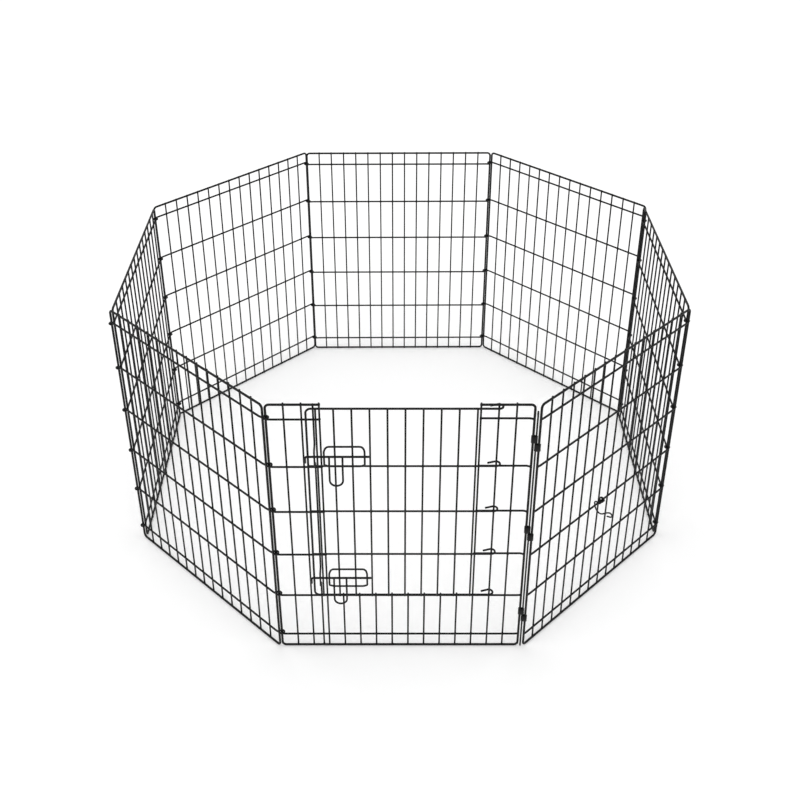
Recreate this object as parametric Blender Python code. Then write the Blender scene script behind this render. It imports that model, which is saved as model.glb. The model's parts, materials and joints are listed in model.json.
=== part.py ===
"""Folding eight-panel wire pet playpen: 610 mm x 762 mm panels, one with a door.

World axes: +Z up, the door panel faces -Y, +X is to the right when facing the door.
Each plain panel is built in its own frame: +X runs along the panel from its hinge end,
+Y points out of the pen, and Z = 0 is the floor. All lengths are in metres.
"""
import math

import bmesh
import bpy
from mathutils import Matrix, Vector

# Driving dimensions
PANEL_WIDTH = 0.610          # between the centres of a panel's side wires
PANEL_HEIGHT = 0.762
FRAME_WIRE = 0.0048          # square, across its flats
GRID_WIRE = 0.0038
COLUMNS = 15                 # equal spaces between the uprights
END_BAND = 0.0404            # outermost rail to the first cross wire
CROSS_WIRES = 6
CORNER_RADIUS = 0.012        # outer radius of the frame's bent corners
CHAMFER = 0.0050             # cut off the grid's corners, inside the frame's bends
GAP = 0.0003                 # clearance kept between pieces that touch
WELD = 0.0003                # depth to which the door's welded wires sink into each other

# Hinge eyes: each cross wire ends in an eye round the next panel's side wire
EYE_BORE = 0.0037            # inner radius, across the flats of a six-sided eye
EYE_WALL = 0.0024
EYE_ALONG = 0.0030           # from the hinge axis to the panel's own side wire, along it
EYE_ACROSS = 0.0062          # and across it, so that folded panels lie side by side
EYE_RISE = 0.0044            # eyes sit just above the neighbour's cross wires

# Pin corner
PIN_WIRE = 0.0040
PIN_GAP = 0.0152             # between the two side wires that the pin joins
PIN_TOP = 0.724              # where the pin bends into its loop
PIN_BOW = 0.0045             # half the loop's width
PIN_BOW_HEIGHT = 0.0110
BAND_HEIGHT = 0.0190
BAND_SPLIT = 0.0040
BAND_SHEET = 0.0009
BAND_LEVELS = (1, 3, 5)      # big bands of the grid, counted from the top

# Door and latches, placed in columns from the door panel's left side wire
JAMB_COLUMNS = (3, 12)
HINGE_COLUMN = 13
DOOR_EDGE_COLUMN = 2.25
DOOR_FIRST_COLUMN = 2.8
DOOR_UPRIGHTS = 10
DOOR_TOP_DROP = 0.0080       # door's top rail below the panel's top rail
DOOR_RISE = 0.0044           # door's cross wires above the panel's
DOOR_LOOP = 0.0092           # radius of the hinge wires' loops round the upright
DOOR_TAIL = 0.020            # reach of each loop's tail behind the panel
DOOR_TAIL_Y = 0.0070
KEEPER_COLUMN = 2.65
KEEPER_WIRE = 0.0040
BOLT_WIRE = 0.0050
BOLT_COLUMNS = (2.1, 5.75)
BOLT_DROPS = (0.139, 0.514)  # of the two bolts below the top of the panel
BOLT_TIP = 0.018
GUIDE_WIRE = 0.0038
GUIDE_COLUMNS = (3.2, 5.5)
GUIDE_HEIGHT = 0.056
GUIDE_CORNER = 0.012
HANDLE_COLUMNS = (3.48, 4.24)
HANDLE_LENGTH = 0.078
HANDLE_WIRE = 0.0040

# Storage hook on the front right panel, round an upright and a cross wire
HOOK_WIRE = 0.0030
HOOK_COLUMN = 8
HOOK_CROSS_WIRE = 4
HOOK_COIL_X = -0.0140        # coil towards the hinge end of the upright
HOOK_COIL_LENGTH = 0.0045
HOOK_COIL_SWELL = 1.25
HOOK_ARM_X = 0.0100
HOOK_ARM = (                 # outward reach and height of the arm's bends
    (-0.0040, -0.0110),
    (0.0010, -0.0200),
    (0.0110, -0.0265),
    (0.0200, -0.0240),
    (0.0320, -0.0130),
    (0.0420, -0.0070),
    (0.0485, -0.0085),
    (0.0505, -0.0135),
    (0.0475, -0.0190),
    (0.0350, -0.0225),
)

PITCH = PANEL_WIDTH / COLUMNS
BIG_BAND = (PANEL_HEIGHT - FRAME_WIRE - 2 * END_BAND) / (CROSS_WIRES - 1)
SQRT2 = math.sqrt(2)


def cross_z(index):
    """Height of cross wire 1 (top) to 6 (bottom)."""
    return PANEL_HEIGHT - FRAME_WIRE / 2 - END_BAND - (index - 1) * BIG_BAND


def band_z(level):
    """Middle of the big band below cross wire number level."""
    return (cross_z(level) + cross_z(level + 1)) / 2


def clear_scene():
    for obj in list(bpy.data.objects):
        bpy.data.objects.remove(obj, do_unlink=True)


def make_collection(name):
    group = bpy.data.collections.new(name)
    bpy.context.scene.collection.children.link(group)
    return group


def make_material(name, colour, roughness, metallic):
    mat = bpy.data.materials.new(name)
    mat.use_nodes = True
    shader = mat.node_tree.nodes["Principled BSDF"]
    shader.inputs["Base Color"].default_value = (*colour, 1.0)
    shader.inputs["Roughness"].default_value = roughness
    shader.inputs["Metallic"].default_value = metallic
    return mat


def mesh_from_curve(curve):
    """Evaluate a curve as one closed mesh with its caps welded on."""
    obj = bpy.data.objects.new("curve", curve)
    bpy.context.scene.collection.objects.link(obj)
    depsgraph = bpy.context.evaluated_depsgraph_get()
    mesh = bpy.data.meshes.new_from_object(obj.evaluated_get(depsgraph))
    bpy.data.objects.remove(obj, do_unlink=True)
    bm = bmesh.new()
    bm.from_mesh(mesh)
    bmesh.ops.remove_doubles(bm, verts=bm.verts, dist=1e-6)
    bmesh.ops.recalc_face_normals(bm, faces=bm.faces)
    bm.to_mesh(mesh)
    bm.free()
    return mesh


def wire(points, diameter, resolution=1, closed=False):
    """A round wire along points; resolution 1 gives six sides, 2 gives eight."""
    curve = bpy.data.curves.new("wire", "CURVE")
    curve.dimensions = "3D"
    curve.bevel_depth = diameter / 2
    curve.bevel_resolution = resolution
    curve.use_fill_caps = True
    spline = curve.splines.new("POLY")
    spline.points.add(len(points) - 1)
    for point, place in zip(spline.points, points):
        point.co = (*place, 1.0)
    spline.use_cyclic_u = closed
    return mesh_from_curve(curve)


def plate(outlines, thickness):
    """A flat plate in XY from closed outlines; an inner outline is a hole."""
    curve = bpy.data.curves.new("plate", "CURVE")
    curve.dimensions = "2D"
    curve.fill_mode = "BOTH"
    curve.extrude = thickness / 2
    for outline in outlines:
        spline = curve.splines.new("POLY")
        spline.points.add(len(outline) - 1)
        for point, place in zip(spline.points, outline):
            point.co = (*place, 0.0, 1.0)
        spline.use_cyclic_u = True
    return mesh_from_curve(curve)


def arc(centre, radius, start, end, steps):
    """Points on an arc in a plane, angles in degrees."""
    points = []
    for step in range(steps + 1):
        angle = math.radians(start + (end - start) * step / steps)
        points.append((centre[0] + radius * math.cos(angle), centre[1] + radius * math.sin(angle)))
    return points


def rounded_rectangle(x0, x1, y0, y1, radius, steps=3):
    corners = (
        ((x1 - radius, y0 + radius), -90),
        ((x1 - radius, y1 - radius), 0),
        ((x0 + radius, y1 - radius), 90),
        ((x0 + radius, y0 + radius), 180),
    )
    outline = []
    for centre, start in corners:
        outline += arc(centre, radius, start, start + 90, steps)
    return outline


def box_mesh(boxes):
    """Separate boxes in one mesh, each given as (low corner, high corner)."""
    bm = bmesh.new()
    for low, high in boxes:
        size = Vector(high) - Vector(low)
        place = Matrix.Translation((Vector(low) + Vector(high)) / 2)
        bmesh.ops.create_cube(bm, size=1.0, matrix=place @ Matrix.Diagonal((*size, 1.0)))
    mesh = bpy.data.meshes.new("boxes")
    bm.to_mesh(mesh)
    bm.free()
    return mesh


def join_meshes(meshes):
    """Put meshes that don't touch into one."""
    bm = bmesh.new()
    for mesh in meshes:
        bm.from_mesh(mesh)
    joined = bpy.data.meshes.new("joined")
    bm.to_mesh(joined)
    bm.free()
    return joined


def moved(mesh, matrix):
    copy = mesh.copy()
    copy.transform(matrix)
    return copy


def union(base, others, cutters):
    """Weld meshes to base with exact Boolean unions and return the result."""
    obj = bpy.data.objects.new("union", base)
    cutters.objects.link(obj)
    tools = []
    for mesh in others:
        tool = bpy.data.objects.new("union_tool", mesh)
        tool.hide_render = True
        tool.display_type = "WIRE"
        cutters.objects.link(tool)
        modifier = obj.modifiers.new("weld", "BOOLEAN")
        modifier.operation = "UNION"
        modifier.solver = "EXACT"
        modifier.object = tool
        tools.append(tool)
    depsgraph = bpy.context.evaluated_depsgraph_get()
    result = bpy.data.meshes.new_from_object(obj.evaluated_get(depsgraph))
    for spent in [obj, *tools]:
        bpy.data.objects.remove(spent, do_unlink=True)
    merge_flat_faces(result)
    return result


def merge_flat_faces(mesh):
    """Join the coplanar scraps that the welds leave behind."""
    bm = bmesh.new()
    bm.from_mesh(mesh)
    bmesh.ops.dissolve_limit(bm, angle_limit=0.002, verts=bm.verts, edges=bm.edges)
    bmesh.ops.triangulate(bm, faces=bm.faces)
    bm.to_mesh(mesh)
    bm.free()


def eye_mesh(centre):
    """A flat six-sided eye of cross wire."""
    bore = EYE_BORE / math.cos(math.radians(30))
    outline = arc((0.0, 0.0), bore + EYE_WALL, 0, 300, 5)
    hole = arc((0.0, 0.0), bore, 0, 300, 5)
    return moved(plate((outline, hole), GRID_WIRE), Matrix.Translation(centre))


def upright_box(x, z0, z1, y):
    half = GRID_WIRE / 2
    return (x - half, y - half, z0), (x + half, y + half, z1)


def stand_up(mesh):
    """Turn a plate drawn in XY so that it stands in XZ."""
    return moved(mesh, Matrix.Rotation(math.radians(90), 4, "X"))


def grid_levels():
    """Heights of all the rails and cross wires, from the bottom up."""
    levels = [PANEL_HEIGHT - FRAME_WIRE / 2]
    levels += [cross_z(index) for index in range(1, CROSS_WIRES + 1)]
    levels.append(FRAME_WIRE / 2)
    return levels[::-1]


def cell(column, row, left):
    """The opening between two uprights and two cross wires, cut off at the panel's corners."""
    half = GRID_WIRE / 2
    levels = grid_levels()
    x0, x1 = left + column * PITCH + half, left + (column + 1) * PITCH - half
    z0, z1 = levels[row] + half, levels[row + 1] - half
    at_side = {(0, 0): 0, (COLUMNS - 1, 0): 1, (COLUMNS - 1, CROSS_WIRES): 2, (0, CROSS_WIRES): 3}
    corners = []
    for number, (x, z) in enumerate([(x0, z0), (x1, z0), (x1, z1), (x0, z1)]):
        if at_side.get((column, row)) != number:
            corners.append((x, z))
            continue
        inward_x = CHAMFER if x == x0 else -CHAMFER
        inward_z = CHAMFER if z == z0 else -CHAMFER
        cut = [(x, z + inward_z), (x + inward_x, z)]
        corners += cut if number % 2 == 0 else cut[::-1]
    return corners


def plain_panel_mesh(eye_side, cutters):
    """A panel with its eyes on one side of its plane: +1 outside, -1 inside."""
    half = FRAME_WIRE / 2
    outer = rounded_rectangle(-half, PANEL_WIDTH + half, 0, PANEL_HEIGHT, CORNER_RADIUS)
    inner = rounded_rectangle(
        half, PANEL_WIDTH - half, FRAME_WIRE, PANEL_HEIGHT - FRAME_WIRE, CORNER_RADIUS - FRAME_WIRE
    )
    frame = stand_up(plate((outer, inner), FRAME_WIRE))
    edge = rounded_rectangle(0, PANEL_WIDTH, half, PANEL_HEIGHT - half, CHAMFER, 1)
    cells = [cell(column, row, 0.0) for column in range(COLUMNS) for row in range(CROSS_WIRES + 1)]
    grid = stand_up(plate([edge, *cells], GRID_WIRE))
    levels = grid_levels()[1:-1]
    eyes = join_meshes(
        eye_mesh((-EYE_ALONG, eye_side * EYE_ACROSS, z + EYE_RISE)) for z in levels
    )
    return union(frame, (grid, eyes), cutters)


def door_panel_mesh(cutters):
    """The panel with the doorway, in world X and Z about its own middle, facing -Y."""
    half = FRAME_WIRE / 2
    grid_half = GRID_WIRE / 2
    left = -PANEL_WIDTH / 2
    jamb_left, jamb_right = (column_x(column) for column in JAMB_COLUMNS)
    top = PANEL_HEIGHT
    bend_out = CORNER_RADIUS
    bend_in = CORNER_RADIUS - FRAME_WIRE
    low, high = bend_out, top - bend_out
    x0, x1 = left - half + bend_out, -left + half - bend_out
    outline = [(jamb_left, top)]
    outline += arc((x0, high), bend_out, 90, 180, 3)
    outline += arc((x0, low), bend_out, 180, 270, 3)
    outline += arc((x1, low), bend_out, 270, 360, 3)
    outline += arc((x1, high), bend_out, 0, 90, 3)
    outline += [(jamb_right, top), (jamb_right, top - FRAME_WIRE)]
    outline += arc((x1, high), bend_in, 90, 0, 3)
    outline += arc((x1, low), bend_in, 360, 270, 3)
    outline += arc((x0, low), bend_in, 270, 180, 3)
    outline += arc((x0, high), bend_in, 180, 90, 3)
    outline += [(jamb_left, top - FRAME_WIRE)]
    frame = stand_up(plate((outline,), FRAME_WIRE))

    sill = cross_z(CROSS_WIRES - 1) + grid_half
    rail = top - half
    edge = [(left + CHAMFER, half), (-left - CHAMFER, half), (-left, half + CHAMFER)]
    edge += [(-left, rail - CHAMFER), (-left - CHAMFER, rail), (jamb_right - grid_half, rail)]
    edge += [(jamb_right - grid_half, sill), (jamb_left + grid_half, sill)]
    edge += [(jamb_left + grid_half, rail), (left + CHAMFER, rail), (left, rail - CHAMFER)]
    edge += [(left, half + CHAMFER)]
    cells = []
    for column in range(COLUMNS):
        in_doorway = JAMB_COLUMNS[0] <= column < JAMB_COLUMNS[1]
        rows = 2 if in_doorway else CROSS_WIRES + 1
        cells += [cell(column, row, left) for row in range(rows)]
    grid = stand_up(plate([edge, *cells], GRID_WIRE))
    return union(frame, (grid,), cutters)


def column_x(column):
    return -PANEL_WIDTH / 2 + column * PITCH


HINGE_EYE = GRID_WIRE / SQRT2 + GAP + GRID_WIRE / 2
DOOR_CROSS_Y = -HINGE_EYE
DOOR_UPRIGHT_Y = DOOR_CROSS_Y - GRID_WIRE + WELD
BOLT_Y = DOOR_UPRIGHT_Y - GRID_WIRE / 2 - GAP - BOLT_WIRE / 2
GUIDE_BAR_Y = DOOR_UPRIGHT_Y - GRID_WIRE / 2 - GAP - GUIDE_WIRE / 2
GUIDE_ARCH_Y = BOLT_Y - BOLT_WIRE / 2 - 2 * GAP - GUIDE_WIRE / 2
KEEPER_ARCH_Y = BOLT_Y - BOLT_WIRE / 2 - 2 * GAP - KEEPER_WIRE / 2
KEEPER_Y = GRID_WIRE / 2 + GAP + KEEPER_WIRE / 2
DOOR_TOP_Z = PANEL_HEIGHT - FRAME_WIRE / 2 - DOOR_TOP_DROP
DOOR_BOTTOM_Z = cross_z(CROSS_WIRES - 1) + DOOR_RISE


def door_mesh(cutters):
    """Door grid whose rails and cross wires end in loops round the hinge upright."""
    edge = column_x(DOOR_EDGE_COLUMN)
    axis = column_x(HINGE_COLUMN)
    levels = [DOOR_BOTTOM_Z, DOOR_TOP_Z]
    levels += [cross_z(index) + DOOR_RISE for index in (2, 3, 4)]
    loop = arc((axis, DOOR_LOOP - HINGE_EYE), DOOR_LOOP, -90, 100, 6)
    loop.append((axis - DOOR_TAIL, DOOR_TAIL_Y))
    crosses = []
    for z in levels:
        points = [(edge, DOOR_CROSS_Y, z)]
        points += [(x, y, z) for x, y in loop]
        crosses.append(wire(points, GRID_WIRE, 0))
    places = [edge] + [column_x(DOOR_FIRST_COLUMN + number) for number in range(DOOR_UPRIGHTS)]
    low, high = DOOR_BOTTOM_Z - 0.002, DOOR_TOP_Z + 0.002
    uprights = [upright_box(x, low, high, DOOR_UPRIGHT_Y) for x in places]
    return union(box_mesh(uprights), (join_meshes(crosses),), cutters)


def keeper_mesh():
    """Upright on the door panel, jogged forward at each bolt to hold it."""
    x = column_x(KEEPER_COLUMN)
    points = [(x, KEEPER_Y, PANEL_HEIGHT - FRAME_WIRE - 2 * GAP)]
    for drop in BOLT_DROPS:
        z = PANEL_HEIGHT - drop
        points += [(x, KEEPER_Y, z + 0.024), (x, KEEPER_ARCH_Y, z + 0.018)]
        points += [(x, KEEPER_ARCH_Y, z - 0.022), (x, KEEPER_Y, z - 0.028)]
    points.append((x, KEEPER_Y, FRAME_WIRE + 2 * GAP))
    return wire(points, KEEPER_WIRE, 1)


def guide_mesh(drop):
    """Rounded wire guide whose short sides arch forward over the bolt."""
    z = PANEL_HEIGHT - drop
    x0, x1 = (column_x(column) for column in GUIDE_COLUMNS)
    outline = rounded_rectangle(x0, x1, z - GUIDE_HEIGHT / 2, z + GUIDE_HEIGHT / 2, GUIDE_CORNER)
    points = []
    for x, height in outline:
        reach = min(1.0, abs(height - z) / (GUIDE_HEIGHT / 2))
        forward = (1 - reach) / (1 - (GUIDE_HEIGHT / 2 - GUIDE_CORNER) / (GUIDE_HEIGHT / 2))
        points.append((x, GUIDE_BAR_Y + (GUIDE_ARCH_Y - GUIDE_BAR_Y) * min(1.0, forward), height))
    return wire(points, GUIDE_WIRE, 0, closed=True)


def bolt_mesh(drop):
    """Straight bolt with its left end bent down."""
    z = PANEL_HEIGHT - drop
    x0, x1 = (column_x(column) for column in BOLT_COLUMNS)
    bend = 0.005
    points = [(x0, BOLT_Y, z - BOLT_TIP), (x0, BOLT_Y, z - bend)]
    points += [(x0 + bend * 0.3, BOLT_Y, z - bend * 0.3), (x0 + bend, BOLT_Y, z), (x1, BOLT_Y, z)]
    return wire(points, BOLT_WIRE, 1)


def handle_mesh(drop):
    """U-shaped lift handle hanging in front of the guide's lower bar."""
    z = PANEL_HEIGHT - drop
    x0, x1 = (column_x(column) for column in HANDLE_COLUMNS)
    radius = (x1 - x0) / 2
    start_y = BOLT_Y - BOLT_WIRE / 2 - GAP - HANDLE_WIRE / 2
    hang_y = min(start_y, GUIDE_BAR_Y - GUIDE_WIRE / 2 - 2 * GAP - HANDLE_WIRE / 2) - 0.004
    low = z - HANDLE_LENGTH + radius
    bottom = arc(((x0 + x1) / 2, low), radius, 180, 360, 6)
    points = [(x0, start_y, z + 0.002), (x0, start_y, z - 0.006), (x0, hang_y, z - 0.020)]
    points += [(x, hang_y, height) for x, height in bottom]
    points += [(x1, hang_y, z - 0.020), (x1, start_y, z - 0.006), (x1, start_y, z + 0.002)]
    return wire(points, HANDLE_WIRE, 0)


def pin_mesh():
    """Corner pin with a tall open loop at its top, about the vertical axis at the origin."""
    bow_z = PIN_TOP + PIN_BOW_HEIGHT
    points = [(0.0, 0.0, GAP), (0.0, 0.0, PIN_TOP - 0.012), (0.0, -PIN_BOW, PIN_TOP)]
    points += [(0.0, across, z) for across, z in arc((0.0, bow_z), PIN_BOW, 180, 0, 6)]
    points.append((0.0, PIN_BOW, PIN_TOP + 0.003))
    return wire(points, PIN_WIRE, 1)


def hull_outline(near, far, span, steps=6):
    """Outline round two circles of radius near and far whose centres are span apart."""
    lean = math.degrees(math.acos((near - far) / span))
    outline = arc((0.0, 0.0), near, lean, 360 - lean, steps)
    outline += arc((span, 0.0), far, -lean, lean, steps)
    return outline


def pin_band_mesh():
    """Sheet band round a side wire (at the origin) and the pin (along +X)."""
    near = FRAME_WIRE / SQRT2 + GAP * 1.5
    far = PIN_WIRE / 2 + GAP * 1.5
    span = PIN_GAP / 2
    outer = hull_outline(near + BAND_SHEET, far + BAND_SHEET, span)
    inner = hull_outline(near, far, span)
    return plate((outer, inner), BAND_HEIGHT)


def hook_mesh():
    """Storage hook round a cross wire, whose axis runs along X at the origin.

    Its coil and its arm stand on either side of an upright at X = 0, and the arm reaches
    out far enough to go round the whole pen when it is folded flat.
    """
    eye = GRID_WIRE / SQRT2 + GAP + HOOK_WIRE / 2
    points = []
    for step in range(16):
        angle = math.radians(30 * step - 90)
        across = HOOK_COIL_X + HOOK_COIL_LENGTH * step / 15
        points.append((across, HOOK_COIL_SWELL * eye * math.cos(angle), eye * math.sin(angle)))
    points += [(HOOK_ARM_X - HOOK_WIRE, eye, 0.0), (HOOK_ARM_X, eye * 0.7, eye * 0.7)]
    points += [(HOOK_ARM_X, 0.0, eye), (HOOK_ARM_X, -eye * 0.7, eye * 0.7), (HOOK_ARM_X, -eye, 0.0)]
    for outward, height in HOOK_ARM:
        points.append((HOOK_ARM_X, outward, height))
    return wire(points, HOOK_WIRE, 0)


def corner_turn():
    """Turn at each hinge, found by bisection, that leaves PIN_GAP at the pin corner."""
    low, high = math.radians(44.0), math.radians(45.2)
    for _ in range(60):
        middle = (low + high) / 2
        end = hinge_points(middle)[-1]
        if (end - Vector((PANEL_WIDTH / 2, 0.0))).x > PIN_GAP * 0.95:
            low = middle
        else:
            high = middle
    return (low + high) / 2


def heading(number, turn):
    """Direction in which panel number runs, away from its hinge."""
    return math.pi - number * turn


def near_wire(hinge, number, turn):
    """Where panel number's own side wire stands beside the hinge axis."""
    side = eye_side(number)
    offset = Matrix.Rotation(heading(number, turn), 2) @ Vector((EYE_ALONG, -side * EYE_ACROSS))
    return hinge + offset


def eye_side(number):
    """Odd panels fold inwards and have their eyes inside; even ones outwards."""
    return -1 if number % 2 else 1


def hinge_points(turn):
    """Hinge axes in plan, starting at the door panel's left side wire."""
    points = [Vector((-PANEL_WIDTH / 2, 0.0))]
    for number in range(1, 8):
        along = Matrix.Rotation(heading(number, turn), 2) @ Vector((PANEL_WIDTH, 0.0))
        points.append(near_wire(points[-1], number, turn) + along)
    return points


PANEL_NAMES = (
    "front_left_panel",
    "left_panel",
    "back_left_panel",
    "back_panel",
    "back_right_panel",
    "right_panel",
    "front_right_panel",
)


class Builder:
    """Places meshes as named objects under empties that stand on the joint axes."""

    def __init__(self):
        self.parts = make_collection("pet_playpen")
        self.cutters = make_collection("cutters")
        self.root = self.empty("pen_root", None, Matrix.Identity(4))

    def empty(self, name, parent, place):
        obj = bpy.data.objects.new(name, None)
        self.parts.objects.link(obj)
        obj.parent = parent
        obj.matrix_basis = place
        return obj

    def add(self, name, mesh, mat, parent, place=None):
        obj = bpy.data.objects.new(name, mesh)
        self.parts.objects.link(obj)
        obj.parent = parent
        if place is not None:
            obj.matrix_basis = place
        if not mesh.materials:
            mesh.materials.append(mat)
        return obj

    def centre(self):
        """Stand the pen on the middle of its own bounding box."""
        bpy.context.view_layer.update()
        corners = []
        for obj in self.parts.objects:
            if obj.type == "MESH":
                corners += [obj.matrix_world @ vertex.co for vertex in obj.data.vertices]
        for axis in (0, 1):
            values = [corner[axis] for corner in corners]
            self.root.location[axis] = -(min(values) + max(values)) / 2


def build():
    clear_scene()
    work = Builder()
    black = make_material("black_coated_wire", (0.012, 0.012, 0.013), 0.35, 0.2)
    sheet = make_material("black_coated_sheet", (0.016, 0.016, 0.017), 0.42, 0.2)
    turn = corner_turn()
    hinges = hinge_points(turn)

    front = work.add("front_panel", door_panel_mesh(work.cutters), black, work.root)
    work.add("latch_keeper", keeper_mesh(), black, front)

    meshes = {side: plain_panel_mesh(side, work.cutters) for side in (-1, 1)}
    for number, name in enumerate(PANEL_NAMES, 1):
        hinge = hinges[number - 1]
        side = eye_side(number)
        place = Matrix.Translation((*hinge, 0.0)) @ Matrix.Rotation(heading(number, turn), 4, "Z")
        axis = work.empty("hinge_" + name, work.root, place)
        offset = Matrix.Translation((EYE_ALONG, -side * EYE_ACROSS, 0.0))
        panel = work.add(name, meshes[side], black, axis, offset)

    hook_place = Matrix.Translation((HOOK_COLUMN * PITCH, 0.0, cross_z(HOOK_CROSS_WIRE)))
    hook_axis = work.empty("hinge_storage_hook", panel, hook_place)
    work.add("storage_hook", hook_mesh(), black, hook_axis)

    door_axis = work.empty(
        "hinge_door", work.root, Matrix.Translation((column_x(HINGE_COLUMN), 0.0, 0.0))
    )
    from_axis = Matrix.Translation((-column_x(HINGE_COLUMN), 0.0, 0.0))
    work.add("door", door_mesh(work.cutters), black, door_axis, from_axis)
    for label, drop in zip(("upper", "lower"), BOLT_DROPS):
        work.add(label + "_latch_guide", guide_mesh(drop), black, door_axis, from_axis)
        work.add(label + "_latch_bolt", bolt_mesh(drop), black, door_axis, from_axis)
        work.add(label + "_latch_handle", handle_mesh(drop), black, door_axis, from_axis)

    right_wire = Vector((PANEL_WIDTH / 2, 0.0))
    middle = (right_wire + hinges[-1]) / 2
    chord = hinges[-1] - right_wire
    facing = math.atan2(chord.y, chord.x)
    pin_place = Matrix.Translation((*middle, 0.0)) @ Matrix.Rotation(facing, 4, "Z")
    work.add("corner_pin", pin_mesh(), black, work.root, pin_place)
    band = pin_band_mesh()
    for level, label in zip(BAND_LEVELS, ("top", "middle", "bottom")):
        rise = (BAND_HEIGHT + BAND_SPLIT) / 2
        upper = Matrix.Translation((*right_wire, band_z(level) + rise)) @ Matrix.Rotation(facing, 4, "Z")
        lower = Matrix.Translation((*hinges[-1], band_z(level) - rise))
        lower = lower @ Matrix.Rotation(facing + math.pi, 4, "Z")
        work.add("front_band_" + label, band, sheet, work.root, upper)
        work.add("side_band_" + label, band, sheet, work.root, lower)
    work.centre()


build()
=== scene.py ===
"""Looks of the folding wire pet playpen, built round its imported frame.

Every panel is rebuilt from round wires where its CAD node stands. A panel's own frame has
+X along the panel from its right-hand or hinge end, +Y out of the pen, and Z = 0 on the floor.
All lengths are in metres.
"""
import json
import math
import random

import bmesh
import bpy
from mathutils import Matrix, Vector


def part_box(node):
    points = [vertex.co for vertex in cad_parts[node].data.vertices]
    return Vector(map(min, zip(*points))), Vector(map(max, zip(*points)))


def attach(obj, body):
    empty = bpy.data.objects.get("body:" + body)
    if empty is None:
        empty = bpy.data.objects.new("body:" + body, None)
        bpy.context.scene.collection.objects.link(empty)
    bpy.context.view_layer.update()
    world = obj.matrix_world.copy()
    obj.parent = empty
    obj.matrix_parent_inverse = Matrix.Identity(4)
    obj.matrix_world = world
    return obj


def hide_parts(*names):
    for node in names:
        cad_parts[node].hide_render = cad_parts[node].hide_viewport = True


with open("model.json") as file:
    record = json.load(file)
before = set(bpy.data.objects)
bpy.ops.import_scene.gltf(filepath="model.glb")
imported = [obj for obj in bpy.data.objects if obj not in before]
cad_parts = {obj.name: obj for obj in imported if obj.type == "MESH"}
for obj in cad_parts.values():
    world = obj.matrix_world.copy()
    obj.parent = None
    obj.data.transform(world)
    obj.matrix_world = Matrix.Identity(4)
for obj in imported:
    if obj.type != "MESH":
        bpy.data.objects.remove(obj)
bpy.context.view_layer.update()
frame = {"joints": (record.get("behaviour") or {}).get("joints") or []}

# Driving dimensions, the same as the CAD's
PANEL_WIDTH = 0.610
PANEL_HEIGHT = 0.762
COLUMNS = 15
CROSS_WIRES = 6
END_BAND = 0.0404
RAIL_INSET = 0.0024          # of the CAD rails' middle from the panel's top and bottom
EYE_ALONG = 0.0030           # hinge axis from a panel's first side wire, along the panel
EYE_ACROSS = 0.0062          # and across it
GAP = 0.0003

# Wires
UPRIGHT_WIRE = 0.0046
CROSS_WIRE = 0.0053
FRAME_WIRE = 0.0060
BEND_RADIUS = 0.0096         # of the frame's corners, at the middle of the wire
EYE_RADIUS = 0.0060          # of a hinge eye, at the middle of the wire
TIP_OVER = 0.0012            # an upright's tip stands this far above the top rail
LEVEL_ERROR = 0.0003         # of a cross wire's height or an upright's plumb

# Lift of each panel's cross wires, different from its neighbours' so that eyes clear wire ends
CROSS_LIFTS = (0.0, 0.0055, 0.0, 0.0055, 0.0, 0.0055, -0.0055, 0.0)

# Where the wires lie in a panel's thickness, outwards positive
UPRIGHT_Y = -0.0017          # uprights are welded on the inner side
CROSS_Y = 0.0014             # cross wires are welded on the outer side
BEHIND_Y = -0.0036           # but right of the doorway behind the uprights, clear of the open door
WIRE_END_Y = 0.0004          # and all of them end butted against the side wire
END_BENDS = (0.010, 0.004, 0.0012)    # distances of a wire end's bends from the side wire
EYE_BENDS = (0.013, 0.006, 0.002)     # and of the bends before a hinge eye
EYE_SWEEP = (-90, -372)      # degrees

# Half-widths of the welds' beads along X, Y and Z
NUGGET = (0.0031, 0.0031, 0.0031)
END_NUGGET = (0.0021, 0.0026, 0.0021)
RAIL_NUGGET = (0.0031, 0.0023, 0.0024)
GUIDE_NUGGET = (0.0020, 0.0016, 0.0020)
DOOR_EDGE_NUGGET = (0.0018, 0.0021, 0.0021)
HANDLE_NUGGET = (0.0028, 0.0018, 0.0022)
END_WELD_INSET = 0.0022      # of the welds on the side wires
KEEPER_WELD_Y = -0.0008
KEEPER_RAIL_WELD_Y = -0.0015
GUIDE_WELD_DEPTH = 0.0014    # behind the middle of the guide's long sides

# Door panel and door, in columns from the panel's left side wire
JAMB_COLUMNS = (3, 12)
HINGE_COLUMN = 13
RAIL_PAST_JAMB = 0.003
CROSS_PAST_JAMB = (0.0022, 0.0035)
SHORT_UPRIGHT_OVER = (0.0035, 0.0050)
FULL_ROWS = CROSS_WIRES - 2  # cross wires above these stop at the jambs
DOOR_EDGE_COLUMN = 2.25
DOOR_FIRST_COLUMN = 2.8
DOOR_UPRIGHTS = 10
DOOR_CROSS_ROWS = (2, 3, 4)
DOOR_TOP_DROP = 0.0080
DOOR_RISE = 0.0056           # of the door's cross wires over the panel's
DOOR_DEPTH = 0.0035          # of the door's uprights in front of its cross wires
DOOR_CROSS_SHARE = 0.95      # of the outer wire's thickness
DOOR_CROSS_OVER = 0.0022     # past the outer wire's middle
DOOR_UPRIGHT_ENDS = (0.0014, 0.0024)
DOOR_LOOP = 0.0092
DOOR_TAIL = 0.020
DOOR_TAIL_Y = -0.0070
DOOR_CORNER = 0.012
HINGE_UPRIGHT_Y = 0.0

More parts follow.
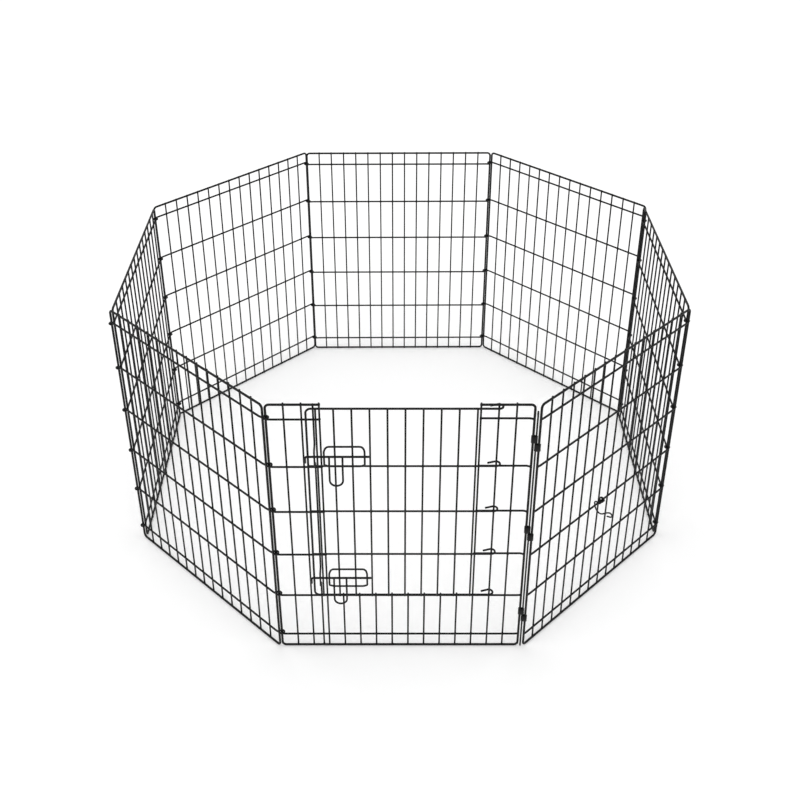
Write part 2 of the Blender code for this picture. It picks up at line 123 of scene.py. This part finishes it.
# Latches
KEEPER_COLUMN = 2.65
KEEPER_WIRE = 0.0046
KEEPER_Y = -0.0024
KEEPER_JOG = (0.024, 0.018, -0.022, -0.028)   # heights of the jog's bends from the bolt's
BOLT_WIRE = 0.0056
BOLT_COLUMNS = (2.1, 5.75)
BOLT_DROPS = (0.139, 0.514)
BOLT_TIP = 0.018
GUIDE_WIRE = 0.0048
GUIDE_COLUMNS = (3.2, 5.5)
GUIDE_HEIGHT = 0.056
GUIDE_CORNER = 0.012
HANDLE_COLUMNS = (3.48, 4.24)
HANDLE_LENGTH = 0.078
HANDLE_WIRE = 0.0048
HANDLE_TOP = 0.003           # heights of the handle's bends from the bolt's middle
HANDLE_BENDS = (-0.006, -0.020)
HANDLE_CLEARANCE = 0.004

# Pin corner
PIN_WIRE = 0.0044
PIN_TOP = 0.724
PIN_BOW = 0.0045
PIN_BOW_HEIGHT = 0.0110
PIN_NECK = 0.012
PIN_BOW_END = 0.003
BAND_HEIGHT = 0.0190
BAND_SHEET = 0.0009
BAND_EDGE = 0.00022          # softening of the sheet's edges

# Storage hook
HOOK_WIRE = 0.0040
HOOK_COLUMN = 8
HOOK_CROSS_WIRE = 4
HOOK_COIL_X = -0.0150
HOOK_COIL_LENGTH = 0.0060
HOOK_COIL_TURN = 810         # degrees
HOOK_COIL_STEPS = 48
HOOK_ARM_X = 0.0100
HOOK_ARM = (                 # outward reach and height of the arm's bends
    (-0.0040, -0.0110),
    (0.0010, -0.0200),
    (0.0110, -0.0265),
    (0.0200, -0.0240),
    (0.0320, -0.0130),
    (0.0420, -0.0070),
    (0.0485, -0.0085),
    (0.0505, -0.0135),
    (0.0475, -0.0190),
    (0.0350, -0.0225),
)

# Studio
FLOOR_SIZE = 400.0
FLOOR_TONE = 0.90
FLOOR_GLOW = 0.14
SKY_STRENGTH = 1.0
TOP_LIGHT_POWER = 16.0
KEY_LIGHT_POWER = 12.0
CAMERA_PLACE = (0.0, -2.869, 2.226)
CAMERA_PITCH = 32.84         # degrees below level
CAMERA_LENS = 51.86          # millimetres on a 36 mm sensor
CAMERA_SHIFT = -0.035

PITCH = PANEL_WIDTH / COLUMNS
BIG_BAND = (PANEL_HEIGHT - 2 * RAIL_INSET - 2 * END_BAND) / (CROSS_WIRES - 1)
WELD_Y = (UPRIGHT_Y + CROSS_Y) / 2
DOOR_CROSS_Y = UPRIGHT_WIRE / 2 + GAP + CROSS_WIRE / 2
DOOR_UPRIGHT_Y = DOOR_CROSS_Y + DOOR_DEPTH
BOLT_Y = DOOR_UPRIGHT_Y + UPRIGHT_WIRE / 2 + GAP + BOLT_WIRE / 2
GUIDE_BAR_Y = DOOR_UPRIGHT_Y + UPRIGHT_WIRE / 2 + GUIDE_WIRE / 2 - GAP
GUIDE_ARCH_Y = BOLT_Y + BOLT_WIRE / 2 + 2 * GAP + GUIDE_WIRE / 2
KEEPER_ARCH_Y = BOLT_Y + BOLT_WIRE / 2 + 2 * GAP + KEEPER_WIRE / 2
DOOR_TOP_Z = PANEL_HEIGHT - RAIL_INSET - DOOR_TOP_DROP
TOP_RAIL_Z = PANEL_HEIGHT - FRAME_WIRE / 2
BOTTOM_RAIL_Z = FRAME_WIRE / 2

PANELS = (
    "front_left_panel",
    "left_panel",
    "back_left_panel",
    "back_panel",
    "back_right_panel",
    "right_panel",
    "front_right_panel",
)

draw = random.Random(11)


# ---------------------------------------------------------------- places

def cross_z(index):
    """Height of cross wire 1 (top) to 6 (bottom)."""
    return PANEL_HEIGHT - RAIL_INSET - END_BAND - (index - 1) * BIG_BAND


def from_left(column):
    """X in the door panel's own frame of a column counted from its left side wire."""
    return PANEL_WIDTH - column * PITCH


def hinge_points():
    """Plan positions of the seven folding hinges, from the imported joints."""
    places = {}
    for joint in frame["joints"]:
        places[joint["child"]] = joint.get("pos_m")
    return [Vector(places[name][:2]) for name in PANELS]


def eye_side(number):
    """Odd panels fold inwards and have their eyes inside; even ones outwards."""
    return -1 if number % 2 else 1


def place_panels():
    """Matrix from each panel's own frame to the pen's; number 0 is the door panel."""
    hinges = hinge_points()
    sixth = hinges[6] - hinges[5]
    slant = math.atan2(-EYE_ACROSS, PANEL_WIDTH + EYE_ALONG)
    heading = math.atan2(sixth.y, sixth.x) - slant
    turn = (math.pi - heading) % (2 * math.pi) / 6
    places = [Matrix.Translation((hinges[0].x + PANEL_WIDTH, hinges[0].y, 0.0))]
    places[0] = places[0] @ Matrix.Rotation(math.pi, 4, "Z")
    for number in range(1, 8):
        turned = Matrix.Rotation(math.pi - number * turn, 4, "Z")
        offset = Matrix.Translation((EYE_ALONG, -eye_side(number) * EYE_ACROSS, 0.0))
        places.append(Matrix.Translation((*hinges[number - 1], 0.0)) @ turned @ offset)
    return places


# ---------------------------------------------------------------- meshes

def arc(centre, radius, start, end, steps):
    """Points on an arc in a plane, angles in degrees."""
    points = []
    for step in range(steps + 1):
        angle = math.radians(start + (end - start) * step / steps)
        points.append((centre[0] + radius * math.cos(angle), centre[1] + radius * math.sin(angle)))
    return points


def smooth_path(points, bend=0.004, steps=4):
    """Round each inner corner of a path with a short quadratic bend."""
    points = [Vector(point) for point in points]
    path = [points[0]]
    for before, corner, after in zip(points, points[1:], points[2:]):
        into = before - corner
        out = after - corner
        reach = min(bend, into.length * 0.45, out.length * 0.45)
        start = corner + into.normalized() * reach
        end = corner + out.normalized() * reach
        for step in range(steps + 1):
            t = step / steps
            path.append(start * (1 - t) ** 2 + corner * 2 * t * (1 - t) + end * t * t)
    path.append(points[-1])
    return path


def add_wires(bm, paths, diameter, resolution=3, closed=False):
    """Add round wires along paths to bm; open ends get a small rounded edge."""
    curve = bpy.data.curves.new("wires", "CURVE")
    curve.dimensions = "3D"
    curve.bevel_depth = diameter / 2
    curve.bevel_resolution = resolution
    curve.use_fill_caps = True
    for path in paths:
        path = [Vector(point) for point in path]
        radii = [1.0] * len(path)
        if not closed:
            edge = diameter * 0.12
            first = path[0] + (path[1] - path[0]).normalized() * edge
            last = path[-1] + (path[-2] - path[-1]).normalized() * edge
            path = [path[0], first, *path[1:-1], last, path[-1]]
            radii = [0.72, 1.0, *radii[1:-1], 1.0, 0.72]
        spline = curve.splines.new("POLY")
        spline.points.add(len(path) - 1)
        for point, place, radius in zip(spline.points, path, radii):
            point.co = (*place, 1.0)
            point.radius = radius
        spline.use_cyclic_u = closed
    holder = bpy.data.objects.new("wires", curve)
    bpy.context.scene.collection.objects.link(holder)
    depsgraph = bpy.context.evaluated_depsgraph_get()
    mesh = bpy.data.meshes.new_from_object(holder.evaluated_get(depsgraph))
    bpy.data.objects.remove(holder, do_unlink=True)
    bpy.data.curves.remove(curve)
    bm.from_mesh(mesh)
    bpy.data.meshes.remove(mesh)


def add_nuggets(bm, places, half=NUGGET):
    """Add the beads left by resistance welds, each a low ellipsoid, a little uneven."""
    for place in places:
        grow = draw.uniform(0.9, 1.15)
        scale = Matrix.Diagonal((half[0] * grow, half[1] * grow, half[2] * grow, 1.0))
        bmesh.ops.create_uvsphere(
            bm, u_segments=8, v_segments=6, radius=1.0, matrix=Matrix.Translation(place) @ scale
        )


def piece(name, bm, place, body, mat, slot, *nodes):
    """Turn bm into a smooth object that rides on a body and stands for CAD nodes."""
    bm.transform(place)
    bmesh.ops.remove_doubles(bm, verts=bm.verts, dist=1e-6)
    bmesh.ops.recalc_face_normals(bm, faces=bm.faces)
    mesh = bpy.data.meshes.new(name)
    bm.to_mesh(mesh)
    bm.free()
    for face in mesh.polygons:
        face.use_smooth = len(face.vertices) <= 4
    mesh.materials.append(mat)
    obj = bpy.data.objects.new(name, mesh)
    bpy.context.scene.collection.objects.link(obj)
    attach(obj, body)
    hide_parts(*nodes)
    return obj


# ---------------------------------------------------------------- materials

def coated_steel(name, colour, roughness, peel, peel_height):
    """Black coating on steel: fine orange peel, uneven gloss, dust and rubbed spots."""
    mat = bpy.data.materials.new(name)
    mat.use_nodes = True
    nodes = mat.node_tree.nodes
    links = mat.node_tree.links
    shader = nodes["Principled BSDF"]
    shader.inputs["Metallic"].default_value = 0.0
    shader.inputs["Specular IOR Level"].default_value = 0.17
    shader.inputs["Coat Weight"].default_value = 0.04
    shader.inputs["Coat Roughness"].default_value = 0.22
    coords = nodes.new("ShaderNodeTexCoord")

    def noise(scale, detail, rough):
        node = nodes.new("ShaderNodeTexNoise")
        node.inputs["Scale"].default_value = scale
        node.inputs["Detail"].default_value = detail
        node.inputs["Roughness"].default_value = rough
        links.new(coords.outputs["Object"], node.inputs["Vector"])
        return node.outputs["Fac"]

    def ramp(factor, low, high, dark, light):
        node = nodes.new("ShaderNodeValToRGB")
        node.color_ramp.elements[0].position = low
        node.color_ramp.elements[1].position = high
        node.color_ramp.elements[0].color = (*dark, 1.0)
        node.color_ramp.elements[1].color = (*light, 1.0)
        links.new(factor, node.inputs["Fac"])
        return node.outputs["Color"]

    def mix(factor, first, second):
        node = nodes.new("ShaderNodeMix")
        node.data_type = "RGBA"
        links.new(factor, node.inputs["Factor"])
        links.new(first, node.inputs["A"])
        links.new(second, node.inputs["B"])
        return node.outputs["Result"]

    paler = tuple(value * 1.9 for value in colour)
    darker = tuple(value * 0.7 for value in colour)
    coat = ramp(noise(22.0, 4.0, 0.6), 0.35, 0.70, darker, paler)
    rubbed = ramp(noise(90.0, 5.0, 0.7), 0.69, 0.73, (0.0, 0.0, 0.0), (0.45, 0.45, 0.45))
    worn = ramp(noise(700.0, 2.0, 0.5), 0.4, 0.6, (0.018, 0.0175, 0.017), (0.040, 0.039, 0.037))
    links.new(mix(rubbed, coat, worn), shader.inputs["Base Color"])

    low, high = roughness - 0.08, roughness + 0.12
    gloss = ramp(noise(260.0, 4.0, 0.65), 0.3, 0.7, (low, low, low), (high, high, high))
    links.new(gloss, shader.inputs["Roughness"])

    bump = nodes.new("ShaderNodeBump")
    bump.inputs["Strength"].default_value = 0.5
    bump.inputs["Distance"].default_value = peel_height
    links.new(noise(peel, 3.0, 0.5), bump.inputs["Height"])
    links.new(bump.outputs["Normal"], shader.inputs["Normal"])
    return mat


# ---------------------------------------------------------------- panels

def frame_loop():
    """Closed path of a plain panel's frame wire with its bent corners."""
    corners = (
        ((PANEL_WIDTH - BEND_RADIUS, BOTTOM_RAIL_Z + BEND_RADIUS), -90),
        ((PANEL_WIDTH - BEND_RADIUS, TOP_RAIL_Z - BEND_RADIUS), 0),
        ((BEND_RADIUS, TOP_RAIL_Z - BEND_RADIUS), 90),
        ((BEND_RADIUS, BOTTOM_RAIL_Z + BEND_RADIUS), 180),
    )
    path = []
    for centre, start in corners:
        path += [(x, 0.0, z) for x, z in arc(centre, BEND_RADIUS, start, start + 90, 8)]
    return path


def upright(x, low, high, y=UPRIGHT_Y):
    """A straight grid wire, a hair out of true as welded wires are."""
    lean = draw.uniform(-LEVEL_ERROR, LEVEL_ERROR)
    return [(x + lean, y, low), (x - lean, y, high)]


def end_at_side(x, z, direction, y=CROSS_Y):
    """The end of a cross wire, pressed and welded into the side wire at x."""
    depths = (y, (y + WIRE_END_Y) / 2, WIRE_END_Y)
    return [(x - direction * reach, depth, z) for reach, depth in zip(END_BENDS, depths)]


def hinge_eye(z, side):
    """The end of a cross wire, curled into an eye round the next panel's side wire."""
    near = side * (EYE_ACROSS - EYE_RADIUS)
    depths = (CROSS_Y, (CROSS_Y + near) / 2, near)
    points = [(x, y, z) for x, y in zip(EYE_BENDS, depths)]
    for x, y in arc((-EYE_ALONG, 0.0), EYE_RADIUS, *EYE_SWEEP, 16):
        points.append((x, side * (EYE_ACROSS + y), z))
    return points


def build_plain_panel(number, name, place, mat):
    """Frame, uprights and cross wires of a plain panel, as three pieces."""
    side = eye_side(number)
    lift = CROSS_LIFTS[number]
    levels = [cross_z(index) + lift for index in range(1, CROSS_WIRES + 1)]
    columns = [column * PITCH for column in range(1, COLUMNS)]

    bm = bmesh.new()
    add_wires(bm, [frame_loop()], FRAME_WIRE, 4, closed=True)
    joints = [(x, UPRIGHT_Y, z) for x in columns for z in (BOTTOM_RAIL_Z + GAP, TOP_RAIL_Z)]
    add_nuggets(bm, joints, RAIL_NUGGET)
    piece(name + "_frame", bm, place, name, mat, "coated_wire", name)

    bm = bmesh.new()
    paths = [upright(x, GAP, PANEL_HEIGHT + TIP_OVER) for x in columns]
    add_wires(bm, paths, UPRIGHT_WIRE)
    piece(name + "_uprights", bm, place, name, mat, "coated_wire", name)

    bm = bmesh.new()
    paths = []
    for z in levels:
        z += draw.uniform(-LEVEL_ERROR, LEVEL_ERROR)
        paths.append(hinge_eye(z, side)[::-1] + end_at_side(PANEL_WIDTH, z, 1))
    add_wires(bm, paths, CROSS_WIRE)
    add_nuggets(bm, [(x, WELD_Y, z) for x in columns for z in levels])
    add_nuggets(bm, [(PANEL_WIDTH - END_WELD_INSET, 0.0, z) for z in levels], END_NUGGET)
    piece(name + "_cross_wires", bm, place, name, mat, "coated_wire", name)


def door_panel_frame():
    """Path of the door panel's frame wire, open at the top between the jambs."""
    right = from_left(JAMB_COLUMNS[1]) + RAIL_PAST_JAMB
    left = from_left(JAMB_COLUMNS[0]) - RAIL_PAST_JAMB
    low, high = BOTTOM_RAIL_Z + BEND_RADIUS, TOP_RAIL_Z - BEND_RADIUS
    far = PANEL_WIDTH - BEND_RADIUS
    outline = [(right, TOP_RAIL_Z)]
    outline += arc((BEND_RADIUS, high), BEND_RADIUS, 90, 180, 8)
    outline += arc((BEND_RADIUS, low), BEND_RADIUS, 180, 270, 8)
    outline += arc((far, low), BEND_RADIUS, 270, 360, 8)
    outline += arc((far, high), BEND_RADIUS, 0, 90, 8)
    outline.append((left, TOP_RAIL_Z))
    return [(x, 0.0, z) for x, z in outline]


def build_door_panel(place, mat):
    """The fixed panel round the doorway."""
    top = PANEL_HEIGHT + TIP_OVER
    sill = cross_z(CROSS_WIRES - 1)
    jamb_left, jamb_right = JAMB_COLUMNS
    levels = [cross_z(index) for index in range(1, CROSS_WIRES + 1)]

    bm = bmesh.new()
    add_wires(bm, [door_panel_frame()], FRAME_WIRE, 4)
    joints = []
    for column in range(1, COLUMNS):
        x = from_left(column)
        joints.append((x, UPRIGHT_Y, BOTTOM_RAIL_Z + GAP))
        if not jamb_left < column < jamb_right:
            joints.append((x, UPRIGHT_Y, TOP_RAIL_Z))
    add_nuggets(bm, joints, RAIL_NUGGET)
    piece("front_panel_frame", bm, place, "front_panel", mat, "coated_wire", "front_panel")

    bm = bmesh.new()
    paths = []
    welds = []
    for column in range(1, COLUMNS):
        short = jamb_left < column < jamb_right
        y = HINGE_UPRIGHT_Y if column == HINGE_COLUMN else UPRIGHT_Y
        high = sill + draw.uniform(*SHORT_UPRIGHT_OVER) if short else top
        x = from_left(column)
        paths.append(upright(x, GAP, high, y))
        rows = levels[FULL_ROWS:] if short else levels
        welds += [(x, WELD_Y, z) for z in rows]
    add_wires(bm, paths, UPRIGHT_WIRE)
    piece("front_panel_uprights", bm, place, "front_panel", mat, "coated_wire", "front_panel")

    bm = bmesh.new()
    paths = []
    for z in levels:
        left_end = end_at_side(PANEL_WIDTH, z, 1)
        if z in levels[FULL_ROWS:]:
            paths.append(end_at_side(0.0, z, -1)[::-1] + left_end)
            continue
        right_end = end_at_side(0.0, z, -1, BEHIND_Y)[::-1]
        inner_left = from_left(jamb_left) - draw.uniform(*CROSS_PAST_JAMB)
        inner_right = from_left(jamb_right) + draw.uniform(*CROSS_PAST_JAMB)
        paths.append(right_end + [(inner_right, BEHIND_Y, z)])
        paths.append([(inner_left, CROSS_Y, z)] + left_end)
    add_wires(bm, paths, CROSS_WIRE)
    add_nuggets(bm, welds)
    ends = (END_WELD_INSET, PANEL_WIDTH - END_WELD_INSET)
    add_nuggets(bm, [(x, 0.0, z) for x in ends for z in levels], END_NUGGET)
    piece("front_panel_cross_wires", bm, place, "front_panel", mat, "coated_wire", "front_panel")


def build_keeper(place, mat):
    """Upright jogged forward at each bolt, welded behind the door panel's cross wires."""
    x = from_left(KEEPER_COLUMN)
    points = [(x, KEEPER_Y, TOP_RAIL_Z)]
    for drop in BOLT_DROPS:
        z = PANEL_HEIGHT - drop
        depths = (KEEPER_Y, KEEPER_ARCH_Y, KEEPER_ARCH_Y, KEEPER_Y)
        points += [(x, y, z + rise) for y, rise in zip(depths, KEEPER_JOG)]
    points.append((x, KEEPER_Y, BOTTOM_RAIL_Z))
    bm = bmesh.new()
    add_wires(bm, [smooth_path(points, 0.005, 6)], KEEPER_WIRE, 4)
    welds = [(x, KEEPER_WELD_Y, cross_z(index)) for index in range(1, CROSS_WIRES + 1)]
    welds += [(x, KEEPER_RAIL_WELD_Y, z) for z in (TOP_RAIL_Z, BOTTOM_RAIL_Z + 3 * GAP)]
    add_nuggets(bm, welds)
    piece("latch_keeper_wire", bm, place, "front_panel", mat, "coated_wire", "latch_keeper")


# ---------------------------------------------------------------- door

def door_levels():
    """Heights of the door's three inner cross wires."""
    return [cross_z(index) + DOOR_RISE for index in DOOR_CROSS_ROWS]


def hinge_loop(z):
    """From a wire's tail behind the panel round the hinge upright to the door's face."""
    axis = from_left(HINGE_COLUMN)
    middle = DOOR_CROSS_Y - DOOR_LOOP
    points = [(axis + DOOR_TAIL, DOOR_TAIL_Y, z)]
    points += [(x, y, z) for x, y in arc((axis, middle), DOOR_LOOP, -80, -270, 20)]
    return points


def build_door(place, mat):
    """Door: one bent outer wire, three cross wires and ten uprights in front of them."""
    edge = from_left(DOOR_EDGE_COLUMN)
    low = cross_z(CROSS_WIRES - 1) + DOOR_RISE
    high = DOOR_TOP_Z
    outer = hinge_loop(high)
    for x, z in arc((edge - DOOR_CORNER, high - DOOR_CORNER), DOOR_CORNER, 90, 0, 8):
        outer.append((x, DOOR_CROSS_Y, z))
    for x, z in arc((edge - DOOR_CORNER, low + DOOR_CORNER), DOOR_CORNER, 0, -90, 8):
        outer.append((x, DOOR_CROSS_Y, z))
    outer += hinge_loop(low)[::-1]
    bm = bmesh.new()
    add_wires(bm, [outer], CROSS_WIRE, 4)
    piece("door_outer_wire", bm, place, "door", mat, "coated_wire", "door")

    bm = bmesh.new()
    far = edge + DOOR_CROSS_OVER
    crosses = [hinge_loop(z) + [(far, DOOR_CROSS_Y, z)] for z in door_levels()]
    add_wires(bm, crosses, CROSS_WIRE * DOOR_CROSS_SHARE)
    columns = [from_left(DOOR_FIRST_COLUMN + number) for number in range(DOOR_UPRIGHTS)]
    middle = (DOOR_CROSS_Y + DOOR_UPRIGHT_Y) / 2
    rows = [low, high, *door_levels()]
    add_nuggets(bm, [(x, middle, z) for x in columns for z in rows])
    add_nuggets(bm, [(edge, DOOR_CROSS_Y, z) for z in door_levels()], DOOR_EDGE_NUGGET)
    piece("door_cross_wires", bm, place, "door", mat, "coated_wire", "door")

    bm = bmesh.new()
    under, over = DOOR_UPRIGHT_ENDS
    paths = [upright(x, low - under, high + over, DOOR_UPRIGHT_Y) for x in columns]
    add_wires(bm, paths, UPRIGHT_WIRE)
    piece("door_uprights", bm, place, "door", mat, "coated_wire", "door")


def build_guide(label, drop, place, mat):
    """Rounded wire guide whose short sides arch forward over the bolt."""
    z = PANEL_HEIGHT - drop
    right, left = from_left(GUIDE_COLUMNS[1]), from_left(GUIDE_COLUMNS[0])
    half = GUIDE_HEIGHT / 2
    corner = GUIDE_CORNER
    corners = (
        ((left - corner, z - half + corner), -90),
        ((left - corner, z + half - corner), 0),
        ((right + corner, z + half - corner), 90),
        ((right + corner, z - half + corner), 180),
    )
    path = []
    for centre, start in corners:
        for x, height in arc(centre, corner, start, start + 90, 8):
            rise = min(1.0, (half - abs(height - z)) / corner)
            eased = rise ** 2 * (3 - 2 * rise)
            path.append((x, GUIDE_BAR_Y + (GUIDE_ARCH_Y - GUIDE_BAR_Y) * eased, height))
    bm = bmesh.new()
    add_wires(bm, [path], GUIDE_WIRE, 4, closed=True)
    welds = []
    for number in range(DOOR_UPRIGHTS):
        x = from_left(DOOR_FIRST_COLUMN + number)
        if right < x < left:
            welds += [(x, GUIDE_BAR_Y - GUIDE_WELD_DEPTH, h) for h in (z - half, z + half)]
    add_nuggets(bm, welds, GUIDE_NUGGET)
    node = label + "_latch_guide"
    piece(node + "_wire", bm, place, "door", mat, "coated_wire", node)


def build_bolt(label, drop, place, mat):
    """Round bolt with its left end bent down, and the U handle welded to it."""
    z = PANEL_HEIGHT - drop
    right, left = from_left(BOLT_COLUMNS[1]), from_left(BOLT_COLUMNS[0])
    path = smooth_path(
        [(left, BOLT_Y, z - BOLT_TIP), (left, BOLT_Y, z), (right, BOLT_Y, z)], 0.006, 7
    )
    bm = bmesh.new()
    add_wires(bm, [path], BOLT_WIRE, 5)
    body = label + "_latch"
    node = label + "_latch_bolt"
    piece(node + "_wire", bm, place, body, mat, "coated_wire", node)

    near, far = from_left(HANDLE_COLUMNS[1]), from_left(HANDLE_COLUMNS[0])
    radius = (far - near) / 2
    start_y = BOLT_Y + BOLT_WIRE / 2 + HANDLE_WIRE / 2 - 2 * GAP
    clear_of_bar = GUIDE_BAR_Y + GUIDE_WIRE / 2 + 2 * GAP + HANDLE_WIRE / 2
    hang_y = max(start_y, clear_of_bar) + HANDLE_CLEARANCE
    low = z - HANDLE_LENGTH + radius
    leg = (
        (start_y, z + HANDLE_TOP),
        (start_y, z + HANDLE_BENDS[0]),
        (hang_y, z + HANDLE_BENDS[1]),
    )
    points = [(near, y, h) for y, h in leg]
    points += [(x, hang_y, h) for x, h in arc(((near + far) / 2, low), radius, 180, 360, 14)]
    points += [(far, y, h) for y, h in reversed(leg)]
    bm = bmesh.new()
    add_wires(bm, [smooth_path(points, 0.005, 4)], HANDLE_WIRE, 4)
    weld_y = BOLT_Y + BOLT_WIRE / 2
    add_nuggets(bm, [(near, weld_y, z), (far, weld_y, z)], HANDLE_NUGGET)
    node = label + "_latch_handle"
    piece(node + "_wire", bm, place, body, mat, "coated_wire", node)


# ---------------------------------------------------------------- pin corner and hook

def pin_corner(places):
    """Middle of each side wire at the pin corner, and the angle from one to the other."""
    front = places[0].translation.xy
    side = (places[7] @ Vector((PANEL_WIDTH, 0.0, 0.0))).xy
    chord = side - front
    return front, side, math.atan2(chord.y, chord.x), chord.length


def build_pin(front, side, facing, mat):
    """Round corner pin with a tall open loop at its top."""
    middle = (front + side) / 2
    bow_z = PIN_TOP + PIN_BOW_HEIGHT
    points = [(0.0, 0.0, GAP), (0.0, 0.0, PIN_TOP - PIN_NECK), (0.0, -PIN_BOW, PIN_TOP)]
    points += [(0.0, across, z) for across, z in arc((0.0, bow_z), PIN_BOW, 180, 0, 14)]
    points.append((0.0, PIN_BOW, PIN_TOP + PIN_BOW_END))
    bm = bmesh.new()
    add_wires(bm, [smooth_path(points, 0.006, 5)], PIN_WIRE, 5)
    place = Matrix.Translation((*middle, 0.0)) @ Matrix.Rotation(facing, 4, "Z")
    piece("corner_pin_wire", bm, place, "corner_pin", mat, "coated_wire", "corner_pin")


def band_outline(near, far, span):
    """Outline round two circles of radius near and far whose centres are span apart."""
    lean = math.degrees(math.acos((near - far) / span))
    outline = arc((0.0, 0.0), near, lean, 360 - lean, 22)
    return outline + arc((span, 0.0), far, -lean, lean, 14)


def build_band(name, body, centre, facing, span, mat):
    """Folded sheet band round a side wire and the pin, with softened edges."""
    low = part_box(name)[0]
    near = RAIL_INSET * math.sqrt(2) + GAP * 1.5
    far = PIN_WIRE / 2 + GAP * 1.5
    edge = BAND_EDGE
    rings = (
        (0.0, edge),
        (edge, 0.0),
        (BAND_HEIGHT - edge, 0.0),
        (BAND_HEIGHT, edge),
        (BAND_HEIGHT, BAND_SHEET - edge),
        (BAND_HEIGHT - edge, BAND_SHEET),
        (edge, BAND_SHEET),
        (0.0, BAND_SHEET - edge),
    )
    bm = bmesh.new()
    loops = []
    for height, inset in rings:
        outline = band_outline(near + BAND_SHEET - inset, far + BAND_SHEET - inset, span)
        loops.append([bm.verts.new((x, y, low.z + height)) for x, y in outline])
    for lower, upper in zip(loops, loops[1:] + loops[:1]):
        count = len(lower)
        for index in range(count):
            after = (index + 1) % count
            bm.faces.new((lower[index], lower[after], upper[after], upper[index]))
    place = Matrix.Translation((*centre, 0.0)) @ Matrix.Rotation(facing, 4, "Z")
    piece(name + "_sheet", bm, place, body, mat, "coated_sheet", name)


def build_hook(place, mat):
    """Storage hook: a coil and an arm on either side of an upright, round a cross wire."""
    eye = CROSS_Y + CROSS_WIRE / 2 + GAP + HOOK_WIRE / 2
    x0, z0 = HOOK_COLUMN * PITCH, cross_z(HOOK_CROSS_WIRE)
    coil = []
    for step in range(HOOK_COIL_STEPS + 1):
        angle = math.radians(-90 + HOOK_COIL_TURN * step / HOOK_COIL_STEPS)
        across = HOOK_COIL_X + HOOK_COIL_LENGTH * step / HOOK_COIL_STEPS
        coil.append((across, eye * math.cos(angle), eye * math.sin(angle)))
    points = [(HOOK_ARM_X - HOOK_WIRE, eye, 0.0), (HOOK_ARM_X, eye * 0.7, eye * 0.7)]
    points += [(HOOK_ARM_X, 0.0, eye), (HOOK_ARM_X, -eye * 0.7, eye * 0.7), (HOOK_ARM_X, -eye, 0.0)]
    points += [(HOOK_ARM_X, outward, height) for outward, height in HOOK_ARM]
    bm = bmesh.new()
    add_wires(bm, [coil + smooth_path([coil[-1], *points], 0.006, 5)[1:]], HOOK_WIRE, 4)
    hook_place = place @ Matrix.Translation((x0, 0.0, z0))
    piece("storage_hook_wire", bm, hook_place, "storage_hook", mat, "coated_wire", "storage_hook")


# ---------------------------------------------------------------- studio

def pale_floor():
    """A wide pale floor that glows faintly, so that it reads as white."""
    bpy.ops.mesh.primitive_plane_add(size=FLOOR_SIZE, location=(0.0, 0.0, 0.0))
    floor = bpy.context.object
    floor.name = "studio_floor"
    mat = bpy.data.materials.new("studio_white")
    mat.use_nodes = True
    shader = mat.node_tree.nodes["Principled BSDF"]
    shader.inputs["Base Color"].default_value = (FLOOR_TONE, FLOOR_TONE, FLOOR_TONE, 1.0)
    shader.inputs["Emission Color"].default_value = (1.0, 1.0, 1.0, 1.0)
    shader.inputs["Emission Strength"].default_value = FLOOR_GLOW
    shader.inputs["Roughness"].default_value = 0.9
    shader.inputs["Specular IOR Level"].default_value = 0.1
    floor.data.materials.append(mat)


def area_light(name, place, target, size, power):
    data = bpy.data.lights.new(name, "AREA")
    data.shape = "RECTANGLE"
    data.size = size
    data.size_y = size * 0.7
    data.energy = power
    light = bpy.data.objects.new(name, data)
    light.location = place
    light.rotation_euler = (Vector(target) - Vector(place)).to_track_quat("-Z", "Y").to_euler()
    bpy.context.scene.collection.objects.link(light)


def studio():
    """White surroundings, a broad top light and a softer key from the front left."""
    pale_floor()
    world = bpy.data.worlds.new("studio")
    bpy.context.scene.world = world
    world.use_nodes = True
    background = world.node_tree.nodes["Background"]
    background.inputs["Color"].default_value = (1.0, 1.0, 1.0, 1.0)
    background.inputs["Strength"].default_value = SKY_STRENGTH
    area_light("top_light", (0.0, 0.6, 4.5), (0.0, 0.0, 0.0), 5.0, TOP_LIGHT_POWER)
    area_light("key_light", (-3.0, -3.2, 3.0), (0.0, 0.0, 0.3), 2.5, KEY_LIGHT_POWER)
    bpy.context.scene.view_settings.view_transform = "Standard"

    data = bpy.data.cameras.new("camera")
    data.sensor_width = 36.0
    data.lens = CAMERA_LENS
    data.shift_y = CAMERA_SHIFT
    camera = bpy.data.objects.new("camera", data)
    camera.location = CAMERA_PLACE
    camera.rotation_euler = (math.radians(90.0 - CAMERA_PITCH), 0.0, 0.0)
    bpy.context.scene.collection.objects.link(camera)
    bpy.context.scene.camera = camera


def build():
    wire_mat = coated_steel("black_coated_wire", (0.0022, 0.0022, 0.0024), 0.38, 1500.0, 0.00006)
    sheet_mat = coated_steel("black_coated_sheet", (0.0030, 0.0030, 0.0032), 0.44, 1100.0, 0.00004)
    places = place_panels()
    build_door_panel(places[0], wire_mat)
    build_keeper(places[0], wire_mat)
    for number, name in enumerate(PANELS, 1):
        build_plain_panel(number, name, places[number], wire_mat)
    build_door(places[0], wire_mat)
    for label, drop in zip(("upper", "lower"), BOLT_DROPS):
        build_guide(label, drop, places[0], wire_mat)
        build_bolt(label, drop, places[0], wire_mat)
    front, side, facing, gap = pin_corner(places)
    build_pin(front, side, facing, wire_mat)
    for level in ("top", "middle", "bottom"):
        build_band("front_band_" + level, "front_panel", front, facing, gap / 2, sheet_mat)
        turned = facing + math.pi
        build_band("side_band_" + level, "front_right_panel", side, turned, gap / 2, sheet_mat)
    build_hook(places[7], wire_mat)
    studio()


build()
